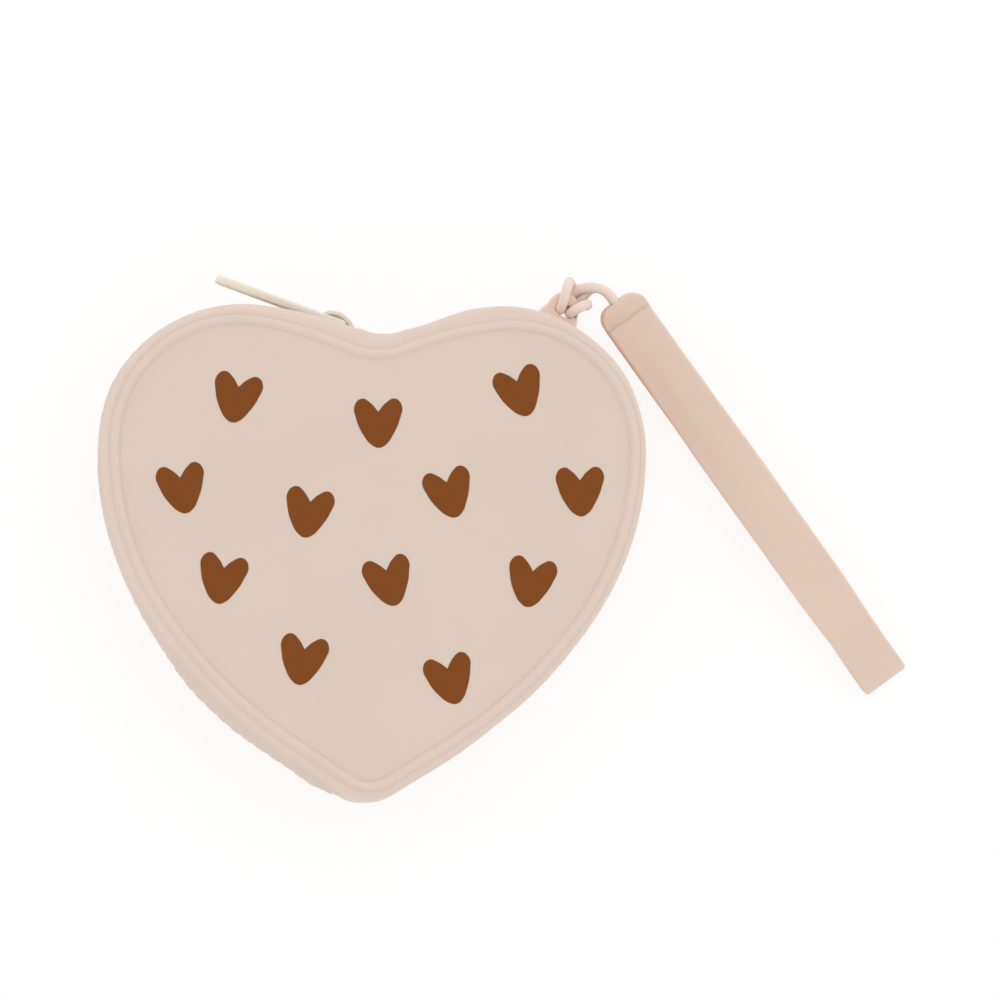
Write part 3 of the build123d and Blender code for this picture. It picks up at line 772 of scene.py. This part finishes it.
def stitch_row(name, height, lip):
    """Stitches along one lip."""
    bm = bmesh.new()
    count = int((HALF_LENGTH - STITCH_START - STITCHES_END) / STITCH_PITCH)
    for number in range(count):
        along = STITCH_START + (number + 0.5) * STITCH_PITCH
        place, way_out = left_spot(along)
        spot = place + way_out * (wall_at(-1, along)[lip] - THREAD_SUNK)
        run = Vector((way_out.y, -way_out.x, 0))
        turned = Matrix((run, Vector((0, 0, -1)), way_out.to_3d())).transposed()
        onto_lip = Matrix.Translation((spot.x, spot.y, height)) @ turned.to_4x4()
        first = len(bm.verts)
        bm.from_mesh(stitch_mesh)
        bm.verts.ensure_lookup_table()
        bmesh.ops.transform(bm, matrix=onto_lip, verts=bm.verts[first:])
    bmesh.ops.recalc_face_normals(bm, faces=bm.faces)
    return finished(name, bm, thread_cotton)


front_stitches = stitch_row("front_stitches", 20.3, FRONT_LIP)
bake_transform(front_stitches)
back_stitches = stitch_row("back_stitches", 7.7, BACK_LIP)
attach(back_stitches, "purse")

# %% [markdown]
# ## Zip
# The back row of teeth, the stops and the slider are hard pieces with exact shapes that never
# bend, so the CAD nodes stay and only get their finishes here.

# %% Finishes for the CAD nodes of the zip
ZIP_FINISHES = {"zip_teeth_back": tooth_plastic, "zip_top_stop": tooth_plastic,
                "zip_bottom_stop": tooth_plastic, "zip_slider": slider_enamel}
for name, material in ZIP_FINISHES.items():
    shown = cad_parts[name]
    shown.data.materials.clear()
    shown.data.materials.append(material)
print("CAD nodes shown:", len(ZIP_FINISHES))

# %% [markdown]
# The bail is the small arch that holds the pull, and it leans a little towards it. The strip close
# under the arch stands for the spring of a slider that locks itself, and its dark tan is painted
# shade, the shade that falls under the arch. Both are strips that follow a smooth line of listed
# points, and they get their thickness and rounded edges from modifiers, because a cast or stamped
# strip has one section all along.

# %% Strips of metal
def metal_strip(name, line, width, thick, material):
    """A strip that stands on its edge and follows a smooth line of points."""
    curve = smooth_line(name, [(x, y, MID - width / 2) for x, y in line], 8)
    bm = bmesh.new()
    bm.from_mesh(mesh_of(curve))
    made = bmesh.ops.extrude_edge_only(bm, edges=bm.edges)["geom"]
    bmesh.ops.translate(bm, vec=(0, 0, width), verts=verts_in(made))
    bmesh.ops.recalc_face_normals(bm, faces=bm.faces)
    strip = finished(name, bm, material)
    metal = strip.modifiers.new("thickness", "SOLIDIFY")
    metal.thickness = thick * MM
    metal.offset = 0
    rounded = strip.modifiers.new("edges", "BEVEL")
    rounded.width = 0.22 * MM
    rounded.segments = 3
    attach(strip, "runner")
    return strip


BAIL_LINE = ((-9.5, 46.6), (-9.8, 47.5), (-10.45, 48.45), (-9.5, 49.15), (-8.3, 49.1),
             (-7.0, 48.85), (-5.9, 48.1), (-4.9, 47.1), (-4.35, 46.0), (-4.05, 44.7))
SPRING_LINE = ((-9.0, 48.3), (-8.2, 48.3), (-7.3, 48.1), (-6.4, 47.6), (-5.6, 46.85),
               (-5.1, 46.0), (-4.9, 45.0))
bail = metal_strip("cast_bail", BAIL_LINE, 1.6, 0.85, bail_enamel)
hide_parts("zip_bail")
# The spring strip is coloured dark tan as painted shade under the arch.
metal_strip("lock_spring", SPRING_LINE, 1.1, 0.8, spring_painted_shade)

# %% [markdown]
# The pull is a flat rubber tongue with an eye that the bail goes through. Its outline and the eye
# are two flat splines, filled, given thickness and a rounded edge by the curve itself, which is
# simpler than bevelling the edges of a mesh with a hole.

# %% The pull's outline
PULL_LONG = 27.6
PULL_SIDE = 2.6
PULL_EDGE = 0.28
ARC = 0.5523  # handle length of a quarter circle of radius 1


def round_box(curve, low_x, high_x, half_y, radius):
    """A closed spline with straight sides and round corners. Each corner has two points."""
    spline = curve.splines.new("BEZIER")
    spline.bezier_points.add(7)
    spline.use_cyclic_u = True
    corners = ((high_x, -half_y, -1, 0, 0, 1), (high_x, half_y, 0, -1, -1, 0),
               (low_x, half_y, 1, 0, 0, -1), (low_x, -half_y, 0, 1, 1, 0))
    for number, (x, y, in_x, in_y, out_x, out_y) in enumerate(corners):
        for index, (dx, dy) in enumerate(((in_x, in_y), (out_x, out_y))):
            point = spline.bezier_points[number * 2 + index]
            point.handle_left_type = point.handle_right_type = "FREE"
            spot = Vector((x + dx * radius, y + dy * radius, 0))
            inner = Vector((x + dx * radius * (1 - ARC), y + dy * radius * (1 - ARC), 0))
            point.co = spot
            point.handle_left = spot if index == 0 else inner
            point.handle_right = inner if index == 0 else spot


pull_curve = filled_outline("pull_outline")
round_box(pull_curve, 0.0, PULL_LONG, PULL_SIDE, 1.6)
round_box(pull_curve, 1.3, 6.1, 1.15, 0.5)
pull_curve.extrude = 0.545
pull_curve.bevel_depth = PULL_EDGE
pull_curve.bevel_resolution = 3
pull_curve.offset = -PULL_EDGE
pull_mesh = mesh_of(pull_curve)
print("faces in the pull's outline:", len(pull_mesh.polygons))

# %% [markdown]
# A filled curve has no points along its length, so the mesh is cut across a few times near the
# eye. Then the neck can get thinner and rise to the bail, as a tongue of rubber does where it
# narrows. The same cuts serve the hearts further on, so they are a helper.

# %% Pull
NECK_THINNER = 0.27
NECK_RISE = 0.2
PULL_AT = Vector((-5.95, 46.5, MID))
PULL_WAY = Vector((-0.9453, 0.3261, 0))


def cut_across(bm, at, way):
    """Cuts a mesh in two at a plane, and keeps both sides joined."""
    everything = list(bm.verts) + list(bm.edges) + list(bm.faces)
    bmesh.ops.bisect_plane(bm, geom=everything, plane_co=at, plane_no=way)


bm = bmesh.new()
bm.from_mesh(pull_mesh)
bmesh.ops.remove_doubles(bm, verts=bm.verts, dist=1e-4)
for along in (1.0, 2.0, 3.0, 4.0, 5.0, 6.0, 7.0, 8.0, 12.0, 18.0):
    cut_across(bm, (along, 0, 0), (1, 0, 0))
for vert in bm.verts:
    neck = 1 - smooth_step(3.5, 8.0, vert.co.x)
    rise = NECK_RISE * (1 - smooth_step(1.5, 8.0, vert.co.x))
    vert.co.z = vert.co.z * (1 - NECK_THINNER * neck) + rise
bmesh.ops.recalc_face_normals(bm, faces=bm.faces)
up = Vector((0, 0, 1))
onto_slider = Matrix((PULL_WAY, up, PULL_WAY.cross(up))).transposed().to_4x4()
bmesh.ops.transform(bm, matrix=Matrix.Translation(PULL_AT) @ onto_slider, verts=bm.verts)
pull = finished("rubber_pull", bm, pull_silicone, smooth=False)
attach(pull, "tongue")
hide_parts("zip_pull")

# %% [markdown]
# The front row of teeth is in two CAD nodes, and it has to bend with the front. A CAD mesh is
# never changed, so a copy of both, merged, stands in for them.

# %% Front row of teeth
bm = bmesh.new()
for name in ("zip_teeth_fold", "zip_teeth_front"):
    bm.from_mesh(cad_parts[name].data)
bmesh.ops.remove_doubles(bm, verts=bm.verts, dist=1e-6)
bmesh.ops.scale(bm, vec=(1 / MM, 1 / MM, 1 / MM), verts=bm.verts)
front_teeth = finished("front_teeth", bm, front_tooth_plastic, smooth=False)
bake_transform(front_teeth)
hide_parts("zip_teeth_fold", "zip_teeth_front")


# %% [markdown]
# Each tape is a strip of cloth from the teeth to the inside of a lip. It starts as a line along
# the zip and grows away from it in a few rises, swinging outwards on the way. The UV map is in
# metres along and across the strip, so that the weave keeps its size.

# %% Tapes
TAPE_RISES = (1.3, 2.1, 2.9, 3.7, 4.5, 5.5, 6.8, 8.4)
TAPE_THICK = 0.5
TAPE_ENDS = (0.8, HALF_LENGTH - 0.6)


def tape(name, way, lip):
    """A strip from the teeth to the inside of a lip. way is 1 for the front tape, -1 for the back."""
    bm = bmesh.new()
    number = bm.verts.layers.int.new("step")
    weave = bm.loops.layers.uv.new("weave")
    steps = [step for step in left_steps if TAPE_ENDS[0] < step[3] < TAPE_ENDS[1]][::2]
    for index in range(len(steps)):
        bm.verts.new()[number] = index
    bm.verts.ensure_lookup_table()
    edges = [bm.edges.new((bm.verts[index], bm.verts[index + 1])) for index in range(len(steps) - 1)]
    verts = list(bm.verts)
    for rise in TAPE_RISES:
        if rise > TAPE_RISES[0]:
            made = bmesh.ops.extrude_edge_only(bm, edges=edges)["geom"]
            edges, verts = far_edges(made), verts_in(made)
        for vert in verts:
            place, way_out, side, along = steps[vert[number]]
            wall = wall_at(side, along)
            inside = wall[lip] - THICK - 0.3
            share = smooth_step(1.6, 4.6, rise)
            spot = place + way_out * (wall[ZIP_LINE] + (inside - wall[ZIP_LINE]) * share)
            vert.co = (spot.x, spot.y, MID + rise * way)
    for face in bm.faces:
        for loop in face.loops:
            loop[weave].uv = (steps[loop.vert[number]][3] * MM, loop.vert.co.z * MM)
    bmesh.ops.recalc_face_normals(bm, faces=bm.faces)
    strip = finished(name, bm, tape_cloth)
    cloth = strip.modifiers.new("thickness", "SOLIDIFY")
    cloth.thickness = TAPE_THICK * MM
    cloth.offset = 0
    return strip


front_tape = tape("front_tape", 1, FRONT_LIP)
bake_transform(front_tape)
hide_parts("zip_tape_fold", "zip_tape_front")
back_tape = tape("back_tape", -1, BACK_LIP)
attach(back_tape, "purse")
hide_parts("zip_tape_back")

# %% [markdown]
# ## Printed hearts
# The print is twelve small brown hearts, all one hand-drawn shape that is tipped a little to
# one side or the other. The shape is a closed Bezier curve, filled and made a mesh. Only the
# point in the notch is sharp, and the rest have automatic handles, as a brush would draw them.

# %% One heart as a curve
HEART_POINTS = ((0.0, 2.3, "VECTOR"), (1.6, 4.15, "AUTO"), (3.35, 4.95, "AUTO"), (4.72, 3.6, "AUTO"),
                (4.35, 0.9, "AUTO"), (2.95, -2.35, "AUTO"), (1.45, -4.4, "AUTO"), (0.15, -4.95, "AUTO"),
                (-1.2, -4.45, "AUTO"), (-2.9, -2.5, "AUTO"), (-4.4, 0.8, "AUTO"), (-4.7, 3.6, "AUTO"),
                (-3.25, 4.9, "AUTO"), (-1.55, 4.05, "AUTO"))
heart_curve = filled_outline("printed_heart")
spline = heart_curve.splines.new("BEZIER")
spline.bezier_points.add(len(HEART_POINTS) - 1)
for point, (x, y, kind) in zip(spline.bezier_points, HEART_POINTS):
    point.co = (x, y, 0)
    point.handle_left_type = kind
    point.handle_right_type = kind
spline.use_cyclic_u = True
heart_mesh = mesh_of(heart_curve)
print("faces in a heart:", len(heart_mesh.polygons))

# %% [markdown]
# The hearts lie a hair above the silicone, as ink does. They are cut into small squares, because
# a flat sheet with no points inside couldn't bend when the front opens.

# %% Lay the hearts on the face
INK_RISE = 0.03
HEARTS = ((-28, 30.6, -10.6), (0.5, 26.2, 1), (28.8, 33, 17), (-38.5, 12.2, 10),
          (-13.2, 7.9, -9.5), (15, 12.4, 15), (41.2, 13.3, 2), (-30.2, -5.7, -10),
          (3.2, -5.5, 14), (31.6, -5.1, -10), (-13.8, -21.6, -10), (15.8, -24.9, 14.5))
bm = bmesh.new()
for x, y, tilt in HEARTS:
    first = len(bm.verts)
    bm.from_mesh(heart_mesh)
    bm.verts.ensure_lookup_table()
    laid = Matrix.Translation((x, y, FACE + INK_RISE)) @ Matrix.Rotation(radians(tilt), 4, "Z")
    bmesh.ops.transform(bm, matrix=laid, verts=bm.verts[first:])
bmesh.ops.dissolve_limit(bm, angle_limit=0.01, verts=bm.verts, edges=bm.edges)
for line in range(-46, 50, 2):
    cut_across(bm, (line, 0, 0), (1, 0, 0))
    cut_across(bm, (0, line, 0), (0, 1, 0))
for face in bm.faces:
    if face.normal.z < 0:
        face.normal_flip()
hearts = finished("printed_hearts", bm, heart_ink, smooth=False)
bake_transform(hearts)

# %% [markdown]
# ## Tab
# The tab is moulded on the wall, so it spreads where it meets it. A circle round the hole, made
# oval by the pull of the cord, and a second, larger circle are bridged. The second one's lower
# half is pulled into the flared foot before the ring gets its thickness and its rounded edges.

# %% Strap tab
TAB_AT = Vector((38.0, 50.9))
TAB_OUT = 66.0
TAB_THICK = 2.0
HOLE = Vector((2.05, 1.2, 1))
HOLE_AT = Vector((0.58, -0.27, 0))
RIM = 3.3
FOOT = 4.6
FLARE_LEFT, FLARE_RIGHT = 0.85, 0.65
bm = bmesh.new()
hole = bmesh.ops.create_circle(bm, segments=32, radius=1.0)["verts"]
bmesh.ops.scale(bm, vec=HOLE, verts=hole)
bmesh.ops.translate(bm, vec=HOLE_AT, verts=hole)
rim = bmesh.ops.create_circle(bm, segments=32, radius=RIM)["verts"]
for vert in rim:
    if vert.co.y < -0.01:
        down = min(1.0, -vert.co.y / RIM)
        level = smooth_step(0.0, 0.75, down)
        flare = FLARE_LEFT if vert.co.x < 0 else FLARE_RIGHT
        vert.co.x *= 1 + flare * level * smooth_step(0.0, 1.0, abs(vert.co.x) / 1.6)
        vert.co.y = -FOOT * level - 0.6 * down
bmesh.ops.bridge_loops(bm, edges=bm.edges)
body = bmesh.ops.extrude_face_region(bm, geom=bm.faces)
bmesh.ops.translate(bm, vec=(0, 0, TAB_THICK), verts=verts_in(body["geom"]))
sharp = [edge for edge in bm.edges if len(edge.link_faces) == 2 and edge.calc_face_angle() > 1.0]
bmesh.ops.bevel(bm, geom=sharp, offset=0.5, offset_type="OFFSET", segments=3, profile=0.5,
                affect="EDGES", material=-1)
bmesh.ops.recalc_face_normals(bm, faces=bm.faces)
bmesh.ops.rotate(bm, matrix=Matrix.Rotation(radians(TAB_OUT - 90), 3, "Z"), verts=bm.verts)
bmesh.ops.translate(bm, vec=(TAB_AT.x, TAB_AT.y, MID - TAB_THICK / 2), verts=bm.verts)
tab = finished("tab", bm, tab_silicone_painted_light)
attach(tab, "purse")
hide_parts("strap_tab")

# %% [markdown]
# ## Strap
# The strap is one flat band folded double, with both ends and the cord held in a moulded sleeve.
# It runs down from the cord to the floor at its own slant, so its pieces are shaped along
# straight axes first, which is easier to read, and then turned into place by one matrix.

# %% Strap frame
STRAP_AT = Vector((48.66, 52.76, 12.4))
STRAP_FALL = radians(6.4745)
STRAP_OUT = ahead(-52.83)
along_strap = Vector((STRAP_OUT.x * cos(STRAP_FALL), STRAP_OUT.y * cos(STRAP_FALL), -sin(STRAP_FALL)))
above_strap = Vector((STRAP_OUT.x * sin(STRAP_FALL), STRAP_OUT.y * sin(STRAP_FALL), cos(STRAP_FALL)))
across_strap = above_strap.cross(along_strap)
strap_axes = Matrix((along_strap, across_strap, above_strap)).transposed()
to_strap = Matrix.Translation(STRAP_AT) @ strap_axes.to_4x4()
print("across the strap:", [round(value, 3) for value in across_strap])

# %% [markdown]
# The band's section is a thin strip with rounded corners. Its path is a narrow loop: out on top,
# round the fold, and back below. The section is remembered in a layer of the mesh, so that every
# station of the sweep can lay the same outline in its own place.

# %% Section and path of the band
BAND_LENGTH = 94.8
BAND_HALF = 5.2
BAND_START = 3.7
STATION = 1.55
STATIONS = 58
LAYER = 1.5
GAP = 1.2
bend = (LAYER + GAP) / 2
bm = bmesh.new()
section = bmesh.ops.create_grid(bm, x_segments=10, y_segments=1, size=1)["verts"]
bmesh.ops.scale(bm, vec=(BAND_HALF, LAYER / 2, 1), verts=section)
corners = [vert for vert in section if abs(abs(vert.co.x) - BAND_HALF) < 1e-4]
bmesh.ops.bevel(bm, geom=corners, offset=0.62, offset_type="OFFSET", segments=4, profile=0.5,
                affect="VERTICES", material=-1)
bmesh.ops.dissolve_faces(bm, faces=bm.faces)
layer = bm.verts.layers.float_vector.new("section")
for vert in bm.verts:
    vert[layer] = vert.co
fold_at = BAND_LENGTH - bend - LAYER / 2
path = [(BAND_START + STATION * number, bend, 0.0) for number in range(STATIONS)]
path += [(fold_at + bend * sin(radians(turn)), bend * cos(radians(turn)), turn)
         for turn in range(0, 181, 15)]
path += [(BAND_START + STATION * number, -bend, 180.0) for number in reversed(range(STATIONS))]
print("stations along the band:", len(path))

# %% [markdown]
# A real band never lies like a ruler. The upper layer dips along its left edge near the sleeve,
# the lower one slides out beside it on the right, and the whole band narrows a little towards
# the sleeve and towards the fold.

# %% Folded band
DIP = 1.1
SLIDE = 0.3


def lay_section(verts, station):
    """Puts the strip's outline at one station of the folded path."""
    run, level, turn = station
    upper = 1.0 if turn < 90 else 0.0
    dip = DIP * upper * smooth_step(4, 22, run) * (1 - smooth_step(30, 70, run))
    slide = SLIDE * smooth_step(30, 150, turn) * smooth_step(14, 40, run) * (1 - smooth_step(80, 90, run))
    narrower = 0.975 + 0.052 * smooth_step(15, 45, run) - 0.085 * smooth_step(68, 88, run)
    for vert in verts:
        width, thick = vert[layer].x, vert[layer].y
        out = Vector((sin(radians(turn)), 0, cos(radians(turn))))
        spot = Vector((run, width * narrower + slide, level)) + out * thick
        left = smooth_step(1.5, -BAND_HALF, width)
        spot.z -= dip * left * left
        vert.co = spot


edges = list(bm.edges)
lay_section(bm.verts, path[0])
for station in path[1:]:
    made = bmesh.ops.extrude_edge_only(bm, edges=edges)["geom"]
    edges = far_edges(made)
    lay_section(verts_in(made), station)
bmesh.ops.contextual_create(bm, geom=edges)
bmesh.ops.recalc_face_normals(bm, faces=bm.faces)
bmesh.ops.transform(bm, matrix=to_strap, verts=bm.verts)
band = finished("strap_band_folded", bm, strap_silicone)
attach(band, "wrist_loop")
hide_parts("strap_band")

# %% [markdown]
# The sleeve is a short block moulded round the band's ends. A cube does for it: the far end is
# made lower, the two corners towards the cord get a wide round, and then every sharp edge but
# those at the band gets a small one, because there the two pieces meet in a crisp line.

# %% Sleeve
SLEEVE = Vector((4.2, 10.1, 4.9))
FAR_END_LOWER = 0.865
bm = bmesh.new()
bmesh.ops.create_cube(bm, size=1)
bmesh.ops.scale(bm, vec=SLEEVE, verts=bm.verts)
bmesh.ops.translate(bm, vec=(SLEEVE.x / 2, 0.08, 0), verts=bm.verts)
for vert in bm.verts:
    if vert.co.x > 4:
        vert.co.z *= FAR_END_LOWER
corners = [edge for edge in bm.edges if all(vert.co.x < 1 for vert in edge.verts)
           and abs(edge.verts[0].co.z - edge.verts[1].co.z) > 3]
bmesh.ops.bevel(bm, geom=corners, offset=3.0, offset_type="OFFSET", segments=10, profile=0.5,
                affect="EDGES", material=-1)
sharp = [edge for edge in bm.edges
         if edge.calc_face_angle() > 0.6 and min(vert.co.x for vert in edge.verts) < 4]
bmesh.ops.bevel(bm, geom=sharp, offset=0.5, offset_type="OFFSET", segments=4, profile=0.5,
                affect="EDGES", material=-1)
bmesh.ops.recalc_face_normals(bm, faces=bm.faces)
bmesh.ops.transform(bm, matrix=to_strap, verts=bm.verts)
sleeve = finished("strap_sleeve_moulded", bm, strap_silicone)
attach(sleeve, "wrist_loop")
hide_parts("strap_sleeve")

# %% [markdown]
# ## Floor and light
# The photograph is lit flat and soft, with a white ground. The floor is nearly white to the
# camera and keeps only a breath of shadow: it mixes a lit surface with an even glow. Rays that
# bounce off it get less of the glow, or it would light the purse too strongly from below.

# %% Floor
FLOOR_RADIUS = 6000
GLOW_SEEN = 0.74
GLOW_BOUNCED = 0.25
bm = bmesh.new()
bmesh.ops.create_circle(bm, segments=96, radius=FLOOR_RADIUS, cap_ends=True)
bmesh.ops.translate(bm, vec=(0, 0, -0.05), verts=bm.verts)
ground, tree, shader = new_material("ground")
shader.inputs["Base Color"].default_value = (0.93, 0.93, 0.93, 1)
shader.inputs["Roughness"].default_value = 0.9
rays = node(tree, "LightPath")
seen = rays.outputs["Is Camera Ray"]
for kind in ("Is Glossy Ray", "Is Transmission Ray"):
    seen = node(tree, "Math", {0: seen, 1: rays.outputs[kind]}, operation="MAXIMUM").outputs[0]
glow_share = remap(tree, seen, GLOW_BOUNCED, GLOW_SEEN)
glow = node(tree, "Emission", in_Color=(1, 1, 1, 1), in_Strength=1.06)
mixed = node(tree, "MixShader", {"Fac": glow_share, 1: shader.outputs[0], 2: glow.outputs[0]})
tree.links.new(mixed.outputs[0], tree.nodes["Material Output"].inputs["Surface"])
floor = finished("floor", bm, ground, smooth=False)

# %% [markdown]
# The sky is white and brightest at the horizon, like a light tent, so the walls and the creases
# stay nearly as light as the face. The camera itself sees an even white behind everything. One
# large weak lamp above, a little to the upper right, shapes the bead and the lips.

# %% Light
HORIZON = 1.25
OVERHEAD = 0.55
LAMP_PLACE = Vector((0.1, 0.3, 1.15))
LAMP_AIM = Vector((0.02, 0, 0))
world = bpy.data.worlds.new("studio")
bpy.context.scene.world = world
world.use_nodes = True
tree = world.node_tree
sky = tree.nodes["Background"]
sky.inputs["Color"].default_value = (1, 1, 1, 1)
aim = node(tree, "NewGeometry")
height = node(tree, "SeparateXYZ", {"Vector": aim.outputs["Position"]})
tree.links.new(remap(tree, height.outputs["Z"], HORIZON, OVERHEAD), sky.inputs["Strength"])
bright = node(tree, "Background", in_Color=(0.99, 0.99, 0.99, 1), in_Strength=1.0)
to_eye = node(tree, "LightPath").outputs["Is Camera Ray"]
mixed = node(tree, "MixShader", {"Fac": to_eye, 1: sky.outputs[0], 2: bright.outputs[0]})
tree.links.new(mixed.outputs[0], tree.nodes["World Output"].inputs["Surface"])
lamp_data = bpy.data.lights.new("softbox", "AREA")
lamp_data.shape = "SQUARE"
lamp_data.size = 1.0
lamp_data.energy = 3.0
lamp = bpy.data.objects.new("softbox", lamp_data)
bpy.context.scene.collection.objects.link(lamp)
lamp_turn = (LAMP_PLACE - LAMP_AIM).to_track_quat("Z", "Y").to_matrix().to_4x4()
lamp.matrix_world = Matrix.Translation(LAMP_PLACE) @ lamp_turn
bpy.context.scene.view_settings.view_transform = "Standard"
print("lamp, W:", lamp_data.energy, "sky:", HORIZON, "to", OVERHEAD)
